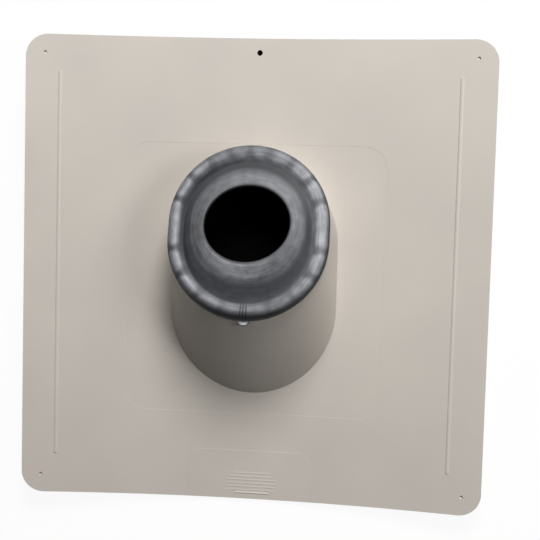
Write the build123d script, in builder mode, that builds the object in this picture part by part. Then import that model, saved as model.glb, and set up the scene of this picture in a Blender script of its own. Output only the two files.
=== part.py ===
from build123d import *
import os
from math import cos, radians, sin, sqrt

# Roof vent flashing: a moulded base (square plate with a leaning hollow boss) and the rubber pipe collar
# moulded onto the boss's rim. Millimetres. +Z points away from the roof, +Y points up the roof slope and
# the origin is under the middle of the plate, on the lowest line of its underside.

# Plate: a square sheet bent a little about the slope line, so its left and right edges stand higher.
plate_side = 330.0
plate_thickness = 2.0
plate_corner_radius = 16.0
bow_radius = 950.0

# Shallow sunk field round the boss.
field_width = 184.0
field_length = 193.0
field_y = -5.6
field_corner_radius = 16.0
field_depth = 0.08

# Low label panel that runs out over the down-slope edge, left bare.
label_width = 90.0
label_length = 35.5
label_corner_radius = 10.0
label_height = 0.08

# Stiffening beads along both sides, the nail hole and the four shallow nail marks, all set in from the edges.
bead_inset = 23.8
bead_lower_gap = 29.0
bead_upper_gap = 26.0
bead_radius = 1.5
bead_height = 0.8
nail_hole_radius = 2.0
nail_hole_inset = 10.0
nail_mark_side_inset = 13.5
nail_mark_end_inset = 13.0
nail_mark_radius = 1.3
nail_mark_depth = 0.8

# Boss: it blends from a long obround at the roof to a shorter obround at its tilted rim.
foot_y = -5.0
foot_straight = 48.5
foot_radius = 60.0
wall = 2.4
rim_y = 30.5
rim_height = 41.0
rim_tilt = 15.0
rim_straight = 11.4
rim_radius = 53.0

# Collar roll, the soft ring that grips the rim. It covers the wall outside by roll_cover.
roll_cover = 2.4
roll_width = 11.4
roll_tall = 10.5
roll_drop = 0.5
roll_rounding = 5.0
roll_inner_slope = 3.5
roll_undercut = 2.1

# Collar membrane: from the roll to a round crease, then a cone up to the lip round the pipe hole.
# The crease and the hole are placed from the middle of the rim, up the slope and out along its normal.
membrane = 2.2
seat_bite = 3.0
seat_lift = 1.0
cone_spread = 7.2
crease_straight = 2.0
crease_tilt = 19.0
crease_up = 2.8
crease_out = 4.5
hole_radius = 28.7
hole_tilt = 30.0
hole_up = 3.6
hole_out = 11.3
lip_width = 2.0
lip_length = 3.0
lip_straight = 0.4

# Moulding gate left on the roll at the down-slope end, a half-round tab.
gate_radius = 4.1
gate_tall = 2.4
gate_out = -0.8
gate_reach = 1.0

# Planes of the tilted features, all on the middle line.
rim_normal = (0, sin(radians(rim_tilt)), cos(radians(rim_tilt)))
rim_plane = Plane(origin=(0, rim_y, rim_height), x_dir=(1, 0, 0), z_dir=rim_normal)
crease_normal = (0, sin(radians(crease_tilt)), cos(radians(crease_tilt)))
crease_at = rim_plane.from_local_coords((0, crease_up, crease_out))
crease_plane = Plane(origin=crease_at, x_dir=(1, 0, 0), z_dir=crease_normal)
hole_normal = (0, sin(radians(hole_tilt)), cos(radians(hole_tilt)))
hole_at = rim_plane.from_local_coords((0, hole_up, hole_out))
hole_plane = Plane(origin=hole_at, x_dir=(1, 0, 0), z_dir=hole_normal)

# Radii of the bent faces, all about the one bow axis high above the plate.
plate_half = plate_side / 2
top_radius = bow_radius - plate_thickness
over = 40.0


def top_height(x):
    return bow_radius - sqrt(top_radius**2 - x**2)


# Space above the bent underside, above the bent top, and above the faces that stand proud or sunk.
with BuildPart() as above_underside:
    with BuildSketch(Plane.XZ):
        with Locations((0, bow_radius)):
            Circle(bow_radius)
    extrude(amount=plate_side, both=True)
with BuildPart() as above_top:
    with BuildSketch(Plane.XZ):
        with Locations((0, bow_radius)):
            Circle(top_radius)
    extrude(amount=plate_side, both=True)
with BuildPart() as above_field:
    with BuildSketch(Plane.XZ):
        with Locations((0, bow_radius)):
            Circle(top_radius + field_depth)
    extrude(amount=plate_side, both=True)
with BuildPart() as above_label:
    with BuildSketch(Plane.XZ):
        with Locations((0, bow_radius)):
            Circle(top_radius - label_height)
    extrude(amount=plate_side, both=True)

# The bent sheet, a square with rounded corners seen from above.
with BuildPart() as sheet:
    with BuildSketch(Plane.XY):
        RectangleRounded(plate_side, plate_side, plate_corner_radius)
    extrude(amount=over)
    add(above_underside.part, mode=Mode.INTERSECT)
    add(above_top.part, mode=Mode.SUBTRACT)

# What the field takes out of the top face.
with BuildPart() as field_sink:
    with BuildSketch(Plane.XY):
        with Locations((0, field_y)):
            RectangleRounded(field_width, field_length, field_corner_radius)
    extrude(amount=over)
    add(above_field.part, mode=Mode.INTERSECT)

# The label panel, as a thicker piece of the same bent sheet that ends at the plate's down-slope edge.
with BuildPart() as label:
    with BuildSketch(Plane.XY):
        with Locations((0, -plate_half)):
            RectangleRounded(label_width, 2 * label_length, label_corner_radius)
        with Locations((0, -plate_half - label_length)):
            Rectangle(2 * label_width, 2 * label_length, mode=Mode.SUBTRACT)
    extrude(amount=over)
    add(above_underside.part, mode=Mode.INTERSECT)
    add(above_label.part, mode=Mode.SUBTRACT)

# One stiffening bead, a round bar sunk into the sheet so that only its crown shows.
bead_x = plate_half - bead_inset
bead_z = top_height(bead_x) + bead_height - bead_radius
with BuildPart() as bead:
    with BuildSketch(Plane.XZ.offset(plate_half - bead_lower_gap)):
        with Locations((bead_x, bead_z)):
            Circle(bead_radius)
    extrude(amount=-(plate_side - bead_lower_gap - bead_upper_gap))

# The boss as a solid block, and the hollow inside it.
with BuildPart() as boss_block:
    with BuildSketch(Plane.XY):
        with Locations((0, foot_y)):
            SlotCenterToCenter(foot_straight, 2 * foot_radius, rotation=90)
    with BuildSketch(rim_plane):
        SlotCenterToCenter(rim_straight, 2 * rim_radius, rotation=90)
    loft(ruled=True)
with BuildPart() as boss_hollow:
    with BuildSketch(Plane.XY):
        with Locations((0, foot_y)):
            SlotCenterToCenter(foot_straight, 2 * (foot_radius - wall), rotation=90)
    with BuildSketch(rim_plane):
        SlotCenterToCenter(rim_straight, 2 * (rim_radius - wall), rotation=90)
    loft(ruled=True)

# The base is one moulding: sheet, field, label and boss, hollowed right through, then the small features.
nail_mark_x = plate_half - nail_mark_side_inset
nail_mark_y = plate_half - nail_mark_end_inset
with BuildPart() as flashing_base:
    add(sheet.part)
    add(field_sink.part, mode=Mode.SUBTRACT)
    add(label.part)
    add(boss_block.part)
    add(above_underside.part, mode=Mode.INTERSECT)
    add(boss_hollow.part, mode=Mode.SUBTRACT)
    add(bead.part)
    add(mirror(bead.part, about=Plane.YZ, mode=Mode.PRIVATE))
    with BuildSketch(Plane.XY):
        with Locations((0, plate_half - nail_hole_inset)):
            Circle(nail_hole_radius)
    extrude(amount=over, mode=Mode.SUBTRACT)
    with BuildSketch(Plane.XY.offset(top_height(nail_mark_x) - nail_mark_depth)):
        with GridLocations(2 * nail_mark_x, 2 * nail_mark_y, 2, 2):
            Circle(nail_mark_radius)
    extrude(amount=over, mode=Mode.SUBTRACT)

# The roll: a soft-cornered section swept round the rim's obround. Its outer top corner is round, its inner
# top corner slopes into the trough and its lower outer corner is cut back under.
roll_outer_radius = rim_radius + roll_cover
roll_inner_radius = roll_outer_radius - roll_width
path_radius = (roll_outer_radius + roll_inner_radius) / 2
path_half = rim_straight / 2
path_end = path_half + path_radius
with BuildPart() as roll:
    with BuildLine(rim_plane) as roll_path:
        Line((path_radius, -path_half), (path_radius, path_half))
        ThreePointArc((path_radius, path_half), (0, path_end), (-path_radius, path_half))
        Line((-path_radius, path_half), (-path_radius, -path_half))
        ThreePointArc((-path_radius, -path_half), (0, -path_end), (path_radius, -path_half))
    path_start = roll_path.wire() @ 0
    path_along = roll_path.wire() % 0
    with BuildSketch(Plane(origin=path_start, x_dir=(1, 0, 0), z_dir=-path_along)) as roll_section:
        with Locations((0, -roll_drop)):
            Rectangle(roll_width, roll_tall)
        fillet(roll_section.vertices().sort_by(lambda v: v.X + v.Y)[-1], radius=roll_rounding)
        chamfer(roll_section.vertices().sort_by(lambda v: v.Y - v.X)[-1], length=roll_inner_slope)
        chamfer(roll_section.vertices().sort_by(lambda v: v.X - v.Y)[-1], length=roll_undercut)
    sweep()

# The top of the membrane as a solid cap, and the same cap lowered by the membrane's thickness.
lip_radius = hole_radius + lip_width
crease_radius = lip_radius + cone_spread
seat_radius = roll_inner_radius + seat_bite
with BuildPart() as cap:
    with BuildSketch(rim_plane.offset(seat_lift)):
        SlotCenterToCenter(rim_straight, 2 * seat_radius, rotation=90)
    with BuildSketch(crease_plane):
        SlotCenterToCenter(crease_straight, 2 * crease_radius, rotation=90)
    with BuildSketch(hole_plane):
        SlotCenterToCenter(lip_straight, 2 * lip_radius, rotation=90)
    loft(ruled=True)
cap_below = Location(rim_plane.z_dir * -membrane) * cap.part

# The collar is one moulding: membrane, lip and roll, with the boss's rim moulded into the roll.
gate_y = -path_half - roll_outer_radius
with BuildPart() as pipe_collar:
    add(cap.part)
    add(cap_below, mode=Mode.SUBTRACT)
    with BuildSketch(hole_plane):
        Circle(lip_radius)
    extrude(amount=-lip_length)
    add(roll.part)
    with BuildSketch(rim_plane.offset(gate_out)):
        with Locations((0, gate_y + gate_reach)):
            Circle(gate_radius)
    extrude(amount=-gate_tall)
    add(flashing_base.part, mode=Mode.SUBTRACT)
    with BuildSketch(hole_plane.offset(over)):
        Circle(hole_radius)
    extrude(amount=-2 * over, mode=Mode.SUBTRACT)

os.makedirs("parts", exist_ok=True)
flashing_base.part.label = "flashing_base"
pipe_collar.part.label = "pipe_collar"
export_step(flashing_base.part, "parts/flashing_base.step")
export_step(pipe_collar.part, "parts/pipe_collar.step")
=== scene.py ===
# %% [markdown]
# # Roof vent flashing
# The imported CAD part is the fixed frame: a tan moulded base, which is a bowed square plate with a leaning
# hollow boss, and a black rubber collar on the boss's rim. This lesson gives both pieces the surface of the
# real ones, and sets up the camera and the light. Every object is in metres, in the frame of the CAD.

# %% Load the frame
import math

import bmesh
import bpy
from mathutils import Matrix, Vector


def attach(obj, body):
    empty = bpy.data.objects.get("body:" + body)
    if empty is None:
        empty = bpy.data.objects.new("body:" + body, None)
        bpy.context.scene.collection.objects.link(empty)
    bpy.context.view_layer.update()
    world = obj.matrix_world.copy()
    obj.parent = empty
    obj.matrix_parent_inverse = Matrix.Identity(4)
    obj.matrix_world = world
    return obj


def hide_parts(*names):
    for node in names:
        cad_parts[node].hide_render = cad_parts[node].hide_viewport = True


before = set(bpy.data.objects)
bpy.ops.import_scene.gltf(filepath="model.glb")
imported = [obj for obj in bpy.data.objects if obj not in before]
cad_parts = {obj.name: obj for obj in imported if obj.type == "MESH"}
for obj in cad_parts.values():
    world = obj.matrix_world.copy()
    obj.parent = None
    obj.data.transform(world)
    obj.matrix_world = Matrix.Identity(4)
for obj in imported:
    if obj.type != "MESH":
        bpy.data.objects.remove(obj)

scene = bpy.context.scene
mm = 0.001
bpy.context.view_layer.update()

# %% [markdown]
# ## Camera
# The photograph looks almost straight down on the plate from a little up the slope and to the right. The
# place, the aim and the small roll were found by fitting the plate's four edges to the picture. A camera can
# be aimed with a constraint, but its axes worked out here keep the roll as a plain number.

# %% Camera
camera_place = Vector((96.9, 63.8, 794.4)) * mm
camera_aim = Vector((11.3, 2.0, 2.0)) * mm
camera_roll = math.radians(1.57)
picture_pixels = 540
focal_pixels = 1120

back = (camera_place - camera_aim).normalized()
right = Vector((0, 1, 0)).cross(back).normalized()
up = back.cross(right)
axes = Matrix((right, up, back)).transposed().to_4x4()
camera_data = bpy.data.cameras.new("camera")
camera_data.sensor_width = 36
camera_data.lens = camera_data.sensor_width * focal_pixels / picture_pixels
camera_data.clip_start = 0.01
camera = bpy.data.objects.new("camera", camera_data)
camera.matrix_world = Matrix.Translation(camera_place) @ axes @ Matrix.Rotation(camera_roll, 4, "Z")
scene.collection.objects.link(camera)
scene.camera = camera
print("lens", round(camera_data.lens, 2), "mm, distance", round((camera_place - camera_aim).length, 3), "m")

# %% [markdown]
# ## Helpers for materials
# Colours are written as the hex values seen on a screen and turned to linear light by one function. One small
# function adds a node, sets its values and links its inputs, so each material below reads as a short list.


# %% Colour and node helpers
def linear(hex_colour):
    channels = [int(hex_colour[i : i + 2], 16) / 255 for i in (1, 3, 5)]
    return [c / 12.92 if c <= 0.04045 else ((c + 0.055) / 1.055) ** 2.4 for c in channels] + [1.0]


def add_node(material, kind, settings=None, inputs=None):
    node = material.node_tree.nodes.new("ShaderNode" + kind)
    for name, value in (settings or {}).items():
        setattr(node, name, value)
    for name, value in (inputs or {}).items():
        if isinstance(value, bpy.types.NodeSocket):
            material.node_tree.links.new(value, node.inputs[name])
        else:
            node.inputs[name].default_value = value
    return node


def new_material(name):
    material = bpy.data.materials.new(name)
    material.use_nodes = True
    material.node_tree.nodes.clear()
    return material


def finish_material(material, shader):
    add_node(material, "OutputMaterial", inputs={"Surface": shader.outputs[0]})


print("black is", linear("#000000")[:3], "and white is", linear("#ffffff")[:3])

# %% [markdown]
# ## Stage
# The photograph has a plain white ground. The floor here is white paper that shows white to the camera and
# still takes a soft shadow. Under the plate's middle lies a sheet of black card, which the plate hides, so
# that the pipe hole and the nail hole look dark as they do in the picture. Both are single flat faces.


# %% Flat sheets for the stage
def flat_sheet(name, width, length, y, z):
    shape = bmesh.new()
    bmesh.ops.create_grid(shape, x_segments=1, y_segments=1, size=0.5)
    bmesh.ops.scale(shape, verts=shape.verts, vec=(width, length, 1))
    bmesh.ops.translate(shape, verts=shape.verts, vec=(0, y, z))
    mesh = bpy.data.meshes.new(name)
    shape.to_mesh(mesh)
    shape.free()
    sheet = bpy.data.objects.new(name, mesh)
    scene.collection.objects.link(sheet)
    return sheet


floor_size, floor_drop = 6.0, 0.1 * mm
floor = flat_sheet("floor", floor_size, floor_size, 0, -floor_drop)
card_width, card_length, card_y = 128 * mm, 304 * mm, 8 * mm
card = flat_sheet("black_card", card_width, card_length, card_y, -floor_drop / 2)
print("floor", floor_size, "m across, card", card_width, "by", card_length, "m")

# %% Paper and card
# Matte paper: the eye sees plain white with no sheen, and a soft grey shadow in the share that isn't lit.
white_share = 0.93
paper = new_material("white_paper")
path = add_node(paper, "LightPath")
seen = path.outputs["Is Camera Ray"]
for ray in ("Is Glossy Ray", "Is Transmission Ray"):
    seen = add_node(paper, "Math", {"operation": "MAXIMUM"}, {0: seen, 1: path.outputs[ray]}).outputs[0]
share = add_node(paper, "Math", {"operation": "MULTIPLY"}, {0: seen, 1: white_share})
matte = add_node(paper, "BsdfDiffuse", inputs={"Color": linear("#f4f4f4")})
white = add_node(paper, "Emission", inputs={"Color": (1, 1, 1, 1), "Strength": 1.0})
shadowed = {0: share.outputs[0], 1: matte.outputs[0], 2: white.outputs[0]}
finish_material(paper, add_node(paper, "MixShader", inputs=shadowed))
floor.data.materials.append(paper)

# Black card: a dull dark sheet, with fibres that are only just seen.
fibre_size = 3 * mm
black_card = new_material("black_card")
place = add_node(black_card, "TexCoord").outputs["Object"]
fibres = add_node(black_card, "TexNoise", inputs={"Vector": place, "Scale": 1 / fibre_size})
ink = add_node(black_card, "ValToRGB", inputs={"Fac": fibres.outputs["Fac"]})
ink.color_ramp.elements[0].color = linear("#070606")
ink.color_ramp.elements[1].color = linear("#100e0d")
finish_material(black_card, add_node(black_card, "BsdfDiffuse", inputs={"Color": ink.outputs["Color"]}))
card.data.materials.append(black_card)
print("paper nodes", len(paper.node_tree.nodes), "card nodes", len(black_card.node_tree.nodes))

# %% [markdown]
# ## Light
# In the picture the plate is brightest at its up-slope edge, the boss's down-slope wall is dark and its right
# wall a little lighter than its left. So one broad soft lamp stands up the slope and a little to the right, a
# weaker one stands at the right, and a small low one at the left of the down-slope side keeps the walls there
# from going black. The surround is white to the camera and very dim on the object.


# %% Lamps
def soft_lamp(name, place, size, watts):
    lamp = bpy.data.lights.new(name, "AREA")
    lamp.shape = "DISK"
    lamp.size = size
    lamp.energy = watts
    thing = bpy.data.objects.new(name, lamp)
    towards_origin = Vector(place).to_track_quat("Z", "Y").to_matrix().to_4x4()
    thing.matrix_world = Matrix.Translation(place) @ towards_origin
    scene.collection.objects.link(thing)


soft_lamp("key_lamp", (0.24, 1.36, 1.12), 0.8, 40)
soft_lamp("side_lamp", (0.84, 0.14, 0.8), 0.45, 3.9)
soft_lamp("low_lamp", (-1.52, -0.88, 0.4), 0.3, 1.7)

# %% Surround
dim, full = 0.015, 1.0
surround = bpy.data.worlds.new("surround")
scene.world = surround
surround.use_nodes = True
surround.node_tree.nodes.clear()
path = add_node(surround, "LightPath")
rays = {0: path.outputs["Is Camera Ray"], 1: path.outputs["Is Transmission Ray"]}
seen = add_node(surround, "Math", {"operation": "MAXIMUM"}, rays)
strength = add_node(surround, "MapRange", inputs={"Value": seen.outputs[0], "To Min": dim, "To Max": full})
sky = add_node(surround, "Background", inputs={"Color": (1, 1, 1, 1), "Strength": strength.outputs[0]})
add_node(surround, "OutputWorld", inputs={"Surface": sky.outputs[0]})
scene.view_settings.view_transform = "Standard"
print("surround", dim, "on the object and", full, "to the camera")

# %% [markdown]
# ## Base
# The base is injection moulded in one shot, so its faces are smooth and its edges only just broken. It could be
# modelled anew, but a copy of the CAD node has the right form already. Its loose triangles are merged, and every
# edge that turns less than 20 degrees is shaded smooth, so that the bow of the plate and the round boss show no
# facets.

# %% Base from the CAD node
smooth_below = math.radians(20)
merge_distance = 0.002 * mm
base_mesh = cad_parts["flashing_base"].data.copy()
base_mesh.name = "moulded_base"
if "custom_normal" in base_mesh.attributes:
    base_mesh.attributes.remove(base_mesh.attributes["custom_normal"])
base_mesh.materials.clear()
shape = bmesh.new()
shape.from_mesh(base_mesh)
bmesh.ops.remove_doubles(shape, verts=shape.verts, dist=merge_distance)
for face in shape.faces:
    face.smooth = True
for edge in shape.edges:
    edge.smooth = len(edge.link_faces) == 2 and edge.calc_face_angle(0) < smooth_below
print("base", len(shape.verts), "points after merging")

# %% [markdown]
# The two stiffening beads show only as thin, weak lines. So their crowns are let down towards the sheet by a
# share of their height, which keeps each bead where it is and only flattens it. The sheet's top is a part of a
# wide cylinder, and the function for its height is used again for the small marks.

# %% Bead crowns
bow_radius, plate_thickness = 950 * mm, 2 * mm
bead_x, bead_half_width, bead_sink = 141.2 * mm, 1.6 * mm, 0.4
least_proud = 0.01 * mm


def sheet_top(x):
    return bow_radius - math.sqrt((bow_radius - plate_thickness) ** 2 - x**2)


lowered_points = 0
for vert in shape.verts:
    proud = vert.co.z - sheet_top(vert.co.x)
    if proud > least_proud and abs(abs(vert.co.x) - bead_x) < bead_half_width:
        vert.co.z -= bead_sink * proud
        lowered_points += 1
print("beads lowered at", lowered_points, "points")

# %% [markdown]
# The low steps round the sunk field and the label panel get a hair-wide bevel, because it is the broken edge
# that catches the light. A step's edges are the sharp ones whose ends lie on its outline, a rounded rectangle.

# %% Broken edges of the steps
# Each outline is its middle up the slope, its width, its length and its corner's radius, in millimetres.
step_outlines = [(-5.6, 184, 193, 16), (-165, 90, 71, 10)]
near_outline, facing_up, step_break = 0.01 * mm, 0.9, 0.05 * mm


def off_outline(point, middle_y, width, length, corner):
    x = abs(point.x) - (width / 2 - corner) * mm
    y = abs(point.y - middle_y * mm) - (length / 2 - corner) * mm
    return abs(math.hypot(max(x, 0), max(y, 0)) + min(max(x, y), 0) - corner * mm)


def on_step(point):
    return min(off_outline(point, *outline) for outline in step_outlines) < near_outline


sharp_edges = [e for e in shape.edges if not e.smooth and e.is_convex]
step_edges = [e for e in sharp_edges if all(on_step(v.co) for v in e.verts)]
step_edges = [e for e in step_edges if max(f.normal.z for f in e.link_faces) > facing_up]
bmesh.ops.bevel(
    shape, geom=step_edges, offset=step_break, affect="EDGES", segments=1, profile=0.5, material=-1
)
print("base", len(shape.faces), "faces,", len(step_edges), "step edges broken")

# %% Base object
shape.to_mesh(base_mesh)
shape.free()
base = bpy.data.objects.new("moulded_base", base_mesh)
scene.collection.objects.link(base)
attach(base, "root")
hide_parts("flashing_base")
print("base object", base.name, "with", len(base_mesh.polygons), "faces")

# %% [markdown]
# ## Plastic of the base
# The base is tan polypropylene, moulded against a fine etched tool. That gives a satin face with a weak
# sheen, a fine grain and broad, faint clouds where the melt flowed. The clouds are two near tints mixed by a
# noise, and the grain is a bump, so that it changes with the light as a real one does.

# %% Moulded polypropylene
# Satin plastic: the eye sees an even tan, a wide soft highlight and no sharp reflection.
plastic = new_material("moulded_tan_polypropylene")
place = add_node(plastic, "TexCoord").outputs["Object"]
cloud_size = 70 * mm
clouds = add_node(plastic, "TexNoise", inputs={"Vector": place, "Scale": 1 / cloud_size, "Detail": 3.0})
tint = add_node(plastic, "ValToRGB", inputs={"Fac": clouds.outputs["Fac"]})
for element, position, colour in zip(tint.color_ramp.elements, (0.3, 0.7), ("#c0b9b1", "#c6bfb6")):
    element.position = position
    element.color = linear(colour)
# The etched grain is really finer than a tenth of a millimetre. It is drawn coarse enough to show.
grain_size, grain_depth = 0.9 * mm, 0.05 * mm
grain = add_node(plastic, "TexNoise", inputs={"Vector": place, "Scale": 1 / grain_size, "Detail": 2.0})
bumps = {"Height": grain.outputs["Fac"], "Strength": 0.12, "Distance": grain_depth}
etched = add_node(plastic, "Bump", inputs=bumps)
satin = add_node(
    plastic,
    "BsdfPrincipled",
    inputs={
        "Base Color": tint.outputs["Color"],
        "Roughness": 0.55,
        "IOR": 1.49,
        "Specular IOR Level": 0.5,
        "Normal": etched.outputs["Normal"],
    },
)
finish_material(plastic, satin)
base_mesh.materials.append(plastic)
print("plastic nodes", len(plastic.node_tree.nodes))

# %% [markdown]
# ## Small marks of the mould
# The down-slope panel carries a few plain raised bars. Round the boss the mould's ejector pins have left faint
# discs, and there are two short scuffs. All of them are far thinner than the sheet, so they are modelled flat and
# then lifted onto its bow. Each reaches as far below its face as above it, so that none can hang in the air.

# %% Shapes of a bar, a wedge and a disc
bar_cuts, wedge_toe, disc_segments = 6, 0.02, 40
along_x = 1e-6


def add_bar(shape, x_from, x_to, y, width, face, height):
    verts = bmesh.ops.create_cube(shape, size=1)["verts"]
    bmesh.ops.scale(shape, verts=verts, vec=Vector((x_to - x_from, width, 2 * height)) * mm)
    bmesh.ops.translate(shape, verts=verts, vec=Vector(((x_from + x_to) / 2, y, face)) * mm)
    edges = {e for v in verts for e in v.link_edges}
    long_edges = [e for e in edges if abs(e.verts[0].co.x - e.verts[1].co.x) > along_x]
    bmesh.ops.subdivide_edges(shape, edges=long_edges, cuts=bar_cuts)


# A wedge is a bar whose up-slope edge is let down to the panel, so that its face looks up at the light.
def add_wedge(shape, x_from, x_to, y, width, face, height):
    add_bar(shape, x_from, x_to, y, width, face, height)
    for vert in shape.verts:
        if 0 < vert.co.y - y * mm < width * mm and vert.co.z > face * mm:
            vert.co.z = (face + wedge_toe) * mm


def add_disc(shape, x, y, radius, face, height):
    made = bmesh.ops.create_circle(shape, cap_ends=True, segments=disc_segments, radius=radius * mm)
    verts = made["verts"]
    bmesh.ops.translate(shape, verts=verts, vec=Vector((x, y, face - height)) * mm)
    made = bmesh.ops.extrude_face_region(shape, geom=[verts[0].link_faces[0]], use_keep_orig=True)
    top = [g for g in made["geom"] if isinstance(g, bmesh.types.BMVert)]
    bmesh.ops.translate(shape, verts=top, vec=Vector((0, 0, 2 * height)) * mm)


print("a bar has", bar_cuts + 1, "lengths and a disc", disc_segments, "sides")

# %% Bars, discs and scuffs
# All in millimetres. The three faces are heights above the sheet's bowed top.
label_face, field_face, sheet_face = 0.08, -0.08, 0
bar_width, bar_height, first_row, row_gap = 1.1, 0.16, -145.8, 2.49
bar_ends = [(-11, 15), (-14, 17), (-17, 20), (-17, 20), (-16, 19), (-17, 18)]
tall_bar_ends, tall_bar_y, tall_bar_height = (-9.7, 14.4), -160.2, 0.4
disc_radius, disc_height = 2.8, 0.02
discs = [(-81.8, -68.6, field_face), (82.6, -67.5, field_face), (79.3, -4.5, field_face)]
discs += [(-98.3, 91.6, sheet_face)]
scuff_width, scuff_height = 0.8, 0.06
scuffs = [(-77.6, -74, 97.4, sheet_face), (-81.4, -78, -78.6, field_face)]

shape = bmesh.new()
for row, ends in enumerate(bar_ends):
    add_wedge(shape, *ends, first_row - row_gap * row, bar_width, label_face, bar_height)
add_wedge(shape, *tall_bar_ends, tall_bar_y, bar_width, label_face, tall_bar_height)
for x, y, face in discs:
    add_disc(shape, x, y, disc_radius, face, disc_height)
for x_from, x_to, y, face in scuffs:
    add_bar(shape, x_from, x_to, y, scuff_width, face, scuff_height)
for vert in shape.verts:
    vert.co.z += sheet_top(vert.co.x)
bmesh.ops.recalc_face_normals(shape, faces=shape.faces)
print(len(bar_ends) + 1, "bars,", len(discs), "discs and", len(scuffs), "scuffs")

# %% Marks object
marks_mesh = bpy.data.meshes.new("mould_marks")
shape.to_mesh(marks_mesh)
shape.free()
marks_mesh.materials.append(plastic)
mould_marks = bpy.data.objects.new("mould_marks", marks_mesh)
scene.collection.objects.link(mould_marks)
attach(mould_marks, "root")
print("marks", len(marks_mesh.polygons), "faces")

# %% [markdown]
# ## Collar
# The collar is one rubber moulding. Round the boss's rim lies a thick soft roll, inside it a dark trough, then
# a crease from which a cone rises to the lip round the pipe hole. A lathe can't make it, because the roll is an
# obround and the hole is tilted more than the rim. So one ring of edges is extruded step by step across the
# section, and each new ring is moved onto its own tilted obround.

# %% Tilted planes of the collar
# The crease and the hole are placed from the middle of the rim, up the slope and out along its normal.
rim_place, rim_tilt, rim_straight = (0, 30.5, 41.0), 15, 11.4
crease_up, crease_out, crease_tilt = 2.8, 4.5, 19
hole_up, hole_out, hole_tilt = 3.6, 11.3, 30


def tilted_plane(origin, tilt):
    return Matrix.Translation(Vector(origin) * mm) @ Matrix.Rotation(-math.radians(tilt), 4, "X")


rim = tilted_plane(rim_place, rim_tilt)
crease_plane = tilted_plane(rim @ Vector((0, crease_up * mm, crease_out * mm)) / mm, crease_tilt)
hole_plane = tilted_plane(rim @ Vector((0, hole_up * mm, hole_out * mm)) / mm, hole_tilt)
rim_up = rim.to_3x3() @ Vector((0, 0, 1))
print("hole at", [round(v / mm, 2) for v in hole_plane.translation])


# %% Kinds of ring
# A ring gives the point at any angle round it. Its radius, straight part and lift are in millimetres.
def obround(plane, radius, straight, lift):
    def at(angle):
        side = 1 if math.sin(angle) > -1e-4 else -1
        point = (radius * math.cos(angle), radius * math.sin(angle) + side * straight / 2, lift)
        return plane @ (Vector(point) * mm)

    return at


def roll_ring(radius, lift):
    return obround(rim, radius, rim_straight, lift)


def between(first, second, share):
    return lambda angle: first(angle).lerp(second(angle), share(angle) if callable(share) else share)


def lowered(ring, depth):
    return lambda angle: ring(angle) - rim_up * depth * mm


def back_share(angle):
    return (1 + math.sin(angle)) / 2


seat = obround(rim, 47.0, rim_straight, 1.0)
crease = obround(crease_plane, 37.9, 2.0, 0)
lip = obround(hole_plane, 30.7, 0.4, 0)
print("crease at the right", [round(v / mm, 2) for v in crease(0)])

# %% Rings across the section
# Each step is a zone and a ring. The crease is tight at the down-slope end and soft at the up-slope end.
membrane = 2.2
steps = [
    ("under", roll_ring(53.3, -5.75)),
    ("under", roll_ring(54.6, -4.5)),
    ("side", roll_ring(55.25, -3.4)),
    ("side", roll_ring(55.4, -1.8)),
    ("side", roll_ring(55.35, -0.2)),
    ("shoulder", roll_ring(54.9, 1.6)),
    ("rise", roll_ring(53.9, 3.2)),
    ("brow", roll_ring(52.4, 4.3)),
    ("crest", roll_ring(50.6, 4.72)),
    ("fall", roll_ring(48.9, 4.55)),
    ("inner", roll_ring(47.4, 3.95)),
    ("slope", roll_ring(46.0, 3.15)),
    ("seat", between(roll_ring(45.0, 2.6), between(seat, crease, 0.28), 0.35)),
    ("hollow", between(seat, crease, 0.36)),
    ("trough", between(seat, crease, 0.55)),
    ("trough", between(seat, crease, lambda a: 0.8 - 0.12 * back_share(a))),
    ("edge", between(seat, crease, lambda a: 0.965 - 0.1 * back_share(a))),
    ("crease", between(crease, lip, lambda a: 0.01 + 0.07 * back_share(a))),
    ("cone", between(crease, lip, lambda a: 0.08 + 0.14 * back_share(a))),
    ("band", between(crease, lip, 0.35)),
    ("band", between(crease, lip, 0.55)),
    ("band", between(crease, lip, 0.75)),
    ("band", between(crease, lip, 0.92)),
    ("lip", obround(hole_plane, 30.4, 0.3, -0.05)),
    ("bore", obround(hole_plane, 29.4, 0, -0.1)),
    ("bore", obround(hole_plane, 28.8, 0, -0.5)),
    ("bore", obround(hole_plane, 28.7, 0, -1.6)),
    ("bore", obround(hole_plane, 28.8, 0, -2.7)),
    ("below", obround(hole_plane, 29.3, 0, -3.0)),
    ("below", obround(hole_plane, 30.7, 0, -3.0)),
    ("below", lowered(between(crease, lip, 0.8), membrane)),
    ("below", lowered(crease, membrane)),
    ("below", lowered(between(seat, crease, 0.3), membrane)),
    ("below", roll_ring(44.0, -1.6)),
    ("below", roll_ring(44.0, -5.2)),
    ("below", roll_ring(44.6, -5.75)),
]
print(len(steps), "rings across the collar")
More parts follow.
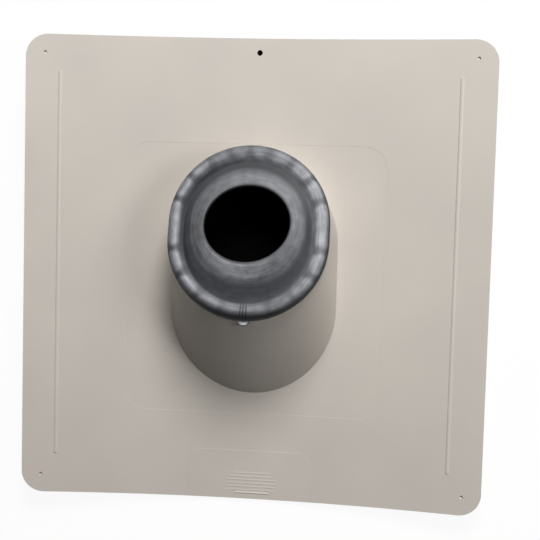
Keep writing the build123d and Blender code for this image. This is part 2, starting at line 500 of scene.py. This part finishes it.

# %% [markdown]
# Wax and filler have come out of the rubber as a grey film, called bloom. It lies on the raised parts, more on one
# side than another, and stays away from the trough. How much lies on each side is partly painted light and shade: it
# was set so that each part of the roll and cone comes out as bright as on the real collar. A painted sheen is laid on
# thickest on the cone's down-slope side. Short marks cross the roll about every twenty degrees: there the rubber drew
# in while it cooled, and the film is thin, which also paints the shade where the dent breaks the crest's highlight.
# Three fine flow lines fan out where the rubber came into the mould. A painted mask could hold all this, but worked
# out for any angle it stays sharp and needs no picture.

# %% Where the film lies
# For each zone: the film's mean strength, then how much it gains to the right and up the slope, once round and twice
# round. These gains are partly painted light and shade: the film is thicker where a side should look more lit, and
# thinner where the lamps light it too much, as on the lip and on the seat at the left.
zone_film_and_painted_light = {
    "side": (0.02,),
    "shoulder": (0.06, -0.05, 0.06),
    "rise": (0.11, 0.0, 0.08, 0.07, -0.02),
    "brow": (0.18, 0.05, 0.07, 0.09, 0.0),
    "crest": (0.25, 0.03, 0.04, 0.13, -0.01),
    "fall": (0.29, 0.02, 0.06, 0.11, 0.03),
    "inner": (0.26, 0.11, 0.05, 0.02, 0.09),
    "slope": (0.16, 0.11, 0.04, -0.02, 0.04),
    "seat": (0.06, 0.08, 0.04, -0.02, 0.03),
    "hollow": (0.03, 0.03, 0.0, -0.02, 0.02),
    "trough": (0.02, -0.01, -0.02),
    "edge": (0.08, -0.02, -0.02),
    "crease": (0.12, 0.01, -0.01),
    "cone": (0.15, 0.01, -0.02),
    "band": (0.16, 0.03, -0.02),
    "lip": (0.10, -0.02, -0.02),
}
# A painted sheen on the cone's down-slope side, standing for light that the cone catches there: its strength in the
# zones that it covers, and its middle and half width in degrees.
painted_sheen = {"crease": 0.1, "cone": 0.45, "band": 0.95}
painted_sheen_middle, painted_sheen_width = 253, 35


def degrees_from(angle, middle):
    return (math.degrees(angle) - middle + 180) % 360 - 180


def film_and_painted_light_at(zone, angle):
    mean, *gains = zone_film_and_painted_light.get(zone, (0,))
    waves = [wave(turns * angle) for turns in (1, 2) for wave in (math.cos, math.sin)]
    # The painted sheen is added to the film here.
    sheen_here = painted_sheen.get(zone, 0) * math.exp(-((degrees_from(angle, painted_sheen_middle) / painted_sheen_width) ** 2))
    return max(0.0, mean + sheen_here + sum(gain * wave for gain, wave in zip(gains, waves)))


print("film on the crest to the right", round(film_and_painted_light_at("crest", 0), 2))

# %% Sink marks and flow lines
# For the zones that the marks cross: a mark's half width in degrees.
mark_width = {"shoulder": 2.2, "rise": 3.2, "brow": 2.6, "crest": 2.8, "fall": 3.6, "inner": 4.2, "slope": 4.4}
# Each mark is its angle in degrees and its strength.
marks = [(18, 0.8), (37, 0.8), (57, 0.75), (76, 0.5), (92, 0.6), (108, 0.45), (124, 0.65), (143, 0.85)]
marks += [(163, 1.0), (189, 1.0), (210, 1.0), (231, 0.85), (252, 0.65), (289, 0.5), (309, 0.45)]
marks += [(331, 0.65), (352, 0.75)]
flow_lines, flow_strength, flow_width = [267.6, 269.8, 272.1], 1.4, 0.6


def mark_at(zone, angle):
    if zone not in mark_width:
        return 0.0
    drawn_in = [(at, strength, mark_width[zone]) for at, strength in marks]
    drawn_in += [(at, flow_strength, flow_width) for at in flow_lines]
    return sum(
        strength * math.exp(-(abs(degrees_from(angle, at) / width) ** 3)) for at, strength, width in drawn_in
    )


print(len(marks), "marks and", len(flow_lines), "flow lines")

# %% Collar mesh
# A mark of strength 1 draws the skin in by mark_sink of the way to the roll's middle and loses the share of its film
# given after mark_sink. On the crest that loss is partly painted shade: it darkens the break that the dent makes in
# the crest's highlight.
ring_points = 480
mark_sink, film_and_highlight_lost = 0.06, 0.75
sunk_zones = ("rise", "brow", "crest", "fall", "inner")
roll_middle = roll_ring(49.7, -0.5)
shape = bmesh.new()
angle_of = shape.verts.layers.float.new("angle")
across_of = shape.verts.layers.float.new("across")
bloom_and_painted_light_of = shape.verts.layers.float.new("bloom_and_painted_light")
bmesh.ops.create_circle(shape, segments=ring_points, radius=1)
for vert in shape.verts:
    vert[angle_of] = math.atan2(vert.co.y, vert.co.x)
ring_verts, ring_edges = list(shape.verts), list(shape.edges)
first_edges = ring_edges
across = 0
for number, (zone, ring) in enumerate(steps):
    if number:
        made = bmesh.ops.extrude_edge_only(shape, edges=ring_edges)["geom"]
        ring_verts = [g for g in made if isinstance(g, bmesh.types.BMVert)]
        new_edges = [g for g in made if isinstance(g, bmesh.types.BMEdge)]
        ring_edges = [e for e in new_edges if set(e.verts) <= set(ring_verts)]
        across += (ring(0) - steps[number - 1][1](0)).length
    for vert in ring_verts:
        angle = vert[angle_of]
        mark = mark_at(zone, angle)
        sunk = mark_sink * mark if zone in sunk_zones else 0
        vert.co = ring(angle).lerp(roll_middle(angle), sunk)
        vert[across_of] = across
        vert[bloom_and_painted_light_of] = film_and_painted_light_at(zone, angle) * max(0.0, 1 - film_and_highlight_lost * mark)
bmesh.ops.bridge_loops(shape, edges=ring_edges + first_edges)
bmesh.ops.recalc_face_normals(shape, faces=shape.faces)
print("collar", len(shape.verts), "points", len(shape.faces), "faces")
print("section", round(across / mm, 1), "mm long")

# %% [markdown]
# At the down-slope end the mould's gate has left a half-round tab under the roll. It is a short disc, extruded
# from a circle, with its edges a little broken. It stays in the collar's mesh, because it is the same moulding.

# %% Gate tab
tab_radius, tab_tall, tab_break, tab_segments = 4.1 * mm, 2.4 * mm, 0.25 * mm, 48
tab_y, tab_top = -60.1 * mm, -0.8 * mm
tab_film, tab_film_depth = 0.65, 0.02 * mm
sharp_turn = 1
roll_verts = set(shape.verts)
disc = bmesh.ops.create_circle(shape, cap_ends=True, segments=tab_segments, radius=tab_radius)["verts"]
bmesh.ops.transform(shape, verts=disc, matrix=rim @ Matrix.Translation((0, tab_y, tab_top)))
tab_face = [f for f in disc[0].link_faces if len(f.verts) > 4]
made = bmesh.ops.extrude_face_region(shape, geom=tab_face, use_keep_orig=True)["geom"]
underside = [g for g in made if isinstance(g, bmesh.types.BMVert)]
bmesh.ops.translate(shape, verts=underside, vec=rim_up * -tab_tall)
tab_faces = {f for v in shape.verts if v not in roll_verts for f in v.link_faces}
bmesh.ops.recalc_face_normals(shape, faces=list(tab_faces))
tab_edges = {e for f in tab_faces for e in f.edges if e.calc_face_angle(0) > sharp_turn}
bmesh.ops.bevel(
    shape, geom=list(tab_edges), offset=tab_break, affect="EDGES", segments=2, profile=0.5, material=-1
)
for vert in shape.verts:
    if vert not in roll_verts:
        depth = tab_top - (rim.inverted() @ vert.co).z
        vert[bloom_and_painted_light_of] = tab_film if depth < tab_film_depth else 0.0
print("tab", round(2 * tab_radius / mm, 1), "mm across")

# %% Collar object
for face in shape.faces:
    face.smooth = True
collar_mesh = bpy.data.meshes.new("rubber_collar")
shape.to_mesh(collar_mesh)
shape.free()
collar = bpy.data.objects.new("rubber_collar", collar_mesh)
scene.collection.objects.link(collar)
finer = collar.modifiers.new("finer", "SUBSURF")
finer.levels = finer.render_levels = 1
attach(collar, "root")
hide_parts("pipe_collar")
print("collar mesh", len(collar_mesh.polygons), "faces before smoothing")

# %% [markdown]
# ## Rubber of the collar
# The collar is black thermoplastic rubber with a soft, waxy sheen. Its grey film goes from near black to pale grey.
# The film's strength, which also holds the painted light and the painted sheen set on the mesh, is read from the
# mesh, broken up by smudges a few millimetres across, and drawn out in rings round the hole, as wiping and the turned
# mould leave it. The rings are a 4D noise: its fourth value is the way across the section, so it changes quickly
# there and slowly along the roll.

# %% Film of the rubber
# Bloomed rubber: the eye sees black with a dusty grey veil, in part painted light and sheen, and a dull, wide
# highlight.
rubber = new_material("black_rubber_with_bloom_and_painted_light")
place = add_node(rubber, "TexCoord").outputs["Object"]
film_and_painted_light = add_node(rubber, "Attribute", {"attribute_name": "bloom_and_painted_light"})
across_mesh = add_node(rubber, "Attribute", {"attribute_name": "across"})
noise_range = {"From Min": 0.3, "From Max": 0.7}
smudge_size = 6 * mm
smudges = add_node(rubber, "TexNoise", inputs={"Vector": place, "Scale": 1 / smudge_size, "Detail": 4.0})
smudge_range = {"Value": smudges.outputs["Fac"], **noise_range, "To Min": 0.66, "To Max": 1.10}
smudged = add_node(rubber, "MapRange", inputs=smudge_range)
streak_width, streak_length = 0.9 * mm, 14 * mm
drawn_out = add_node(
    rubber, "VectorMath", {"operation": "SCALE"}, {0: place, "Scale": streak_width / streak_length}
)
streaks = add_node(
    rubber,
    "TexNoise",
    {"noise_dimensions": "4D"},
    {
        "Vector": drawn_out.outputs[0],
        "W": across_mesh.outputs["Fac"],
        "Scale": 1 / streak_width,
        "Detail": 2.0,
    },
)
streak_range = {"Value": streaks.outputs["Fac"], **noise_range, "To Min": 0.75, "To Max": 1.22}
streaked = add_node(rubber, "MapRange", inputs=streak_range)
uneven = add_node(rubber, "Math", {"operation": "MULTIPLY"}, {0: smudged.outputs[0], 1: streaked.outputs[0]})
clamped = {"operation": "MULTIPLY", "use_clamp": True}
shown = add_node(rubber, "Math", clamped, {0: film_and_painted_light.outputs["Fac"], 1: uneven.outputs[0]})
shade = add_node(rubber, "ValToRGB", inputs={"Fac": shown.outputs[0]})
shade.color_ramp.elements[0].color = linear("#27282c")
# The pale end is this light partly so that the painted sheen on the cone's down-slope side can reach its brightness.
shade.color_ramp.elements[1].color = linear("#f3f5fb")
print("smudges", round(smudge_size / mm, 1), "mm, streaks", round(streak_width / mm, 1), "mm")

# %% Skin of the rubber
# The skin's pores are really finer than a tenth of a millimetre. They are drawn coarse enough to show.
pore_size, pore_depth = 1.2 * mm, 0.05 * mm
pores = add_node(rubber, "TexNoise", inputs={"Vector": place, "Scale": 1 / pore_size, "Detail": 2.0})
bumps = {"Height": pores.outputs["Fac"], "Strength": 0.15, "Distance": pore_depth}
skin = add_node(rubber, "Bump", inputs=bumps)
waxy = add_node(
    rubber,
    "BsdfPrincipled",
    inputs={
        "Base Color": shade.outputs["Color"],
        "Roughness": 0.5,
        "IOR": 1.52,
        "Specular IOR Level": 0.25,
        "Normal": skin.outputs["Normal"],
    },
)
finish_material(rubber, waxy)
collar_mesh.materials.append(rubber)
print("rubber nodes", len(rubber.node_tree.nodes))
